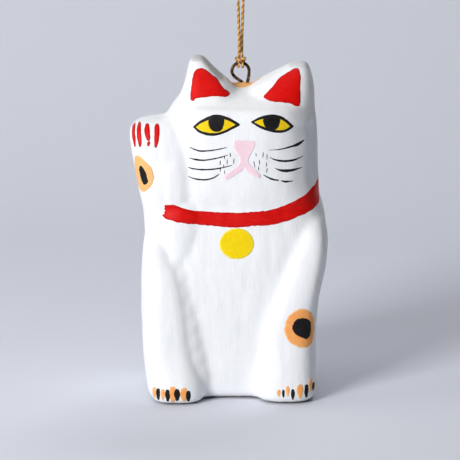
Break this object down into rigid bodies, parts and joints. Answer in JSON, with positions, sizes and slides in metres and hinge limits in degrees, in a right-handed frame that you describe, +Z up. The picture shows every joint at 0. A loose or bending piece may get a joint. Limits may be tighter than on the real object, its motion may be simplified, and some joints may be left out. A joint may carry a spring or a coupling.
{
  "type": "beckoning cat ornament",
  "caption": "Carved and painted wooden beckoning cat, one paw raised, with a screw eye between its ears and a thin knotted hanging cord.",
  "frame": {"origin": "middle of the carving's box, on the flat base that it stands on", "axes": "+Z up from the base to the ears; -Y is the way the cat faces; +X is to the right of someone who looks at its face"},
  "size_m": [0.0464, 0.0339, 0.1207],
  "materials": {
    "white_paint_on_wood": "brushed-on matt white acrylic paint over carved light wood",
    "aged_brass": "bronzed brass wire",
    "gold_cord": "twisted metallic gold thread"
  },
  "bodies": {
    "cat": {"carved_body": "white_paint_on_wood", "screw_eye": "aged_brass"},
    "hitch": {"cord_hitch": "gold_cord"},
    "loop": {"strand_by_raised_paw": "gold_cord", "far_strand": "gold_cord", "end_knot": "gold_cord"}
  },
  "joints": [
    {"name": "hitch_turn", "type": "hinge", "parent": "cat", "child": "hitch", "pos_m": [0.0027, 0, 0.0785], "axis": [1, 0, 0], "range_deg": [-95, 95]},
    {"name": "loop_lean", "type": "hinge", "parent": "hitch", "child": "loop", "pos_m": [0.0027, 0, 0.08135], "axis": [0, 1, 0], "range_deg": [-40, 40]}
  ]
}
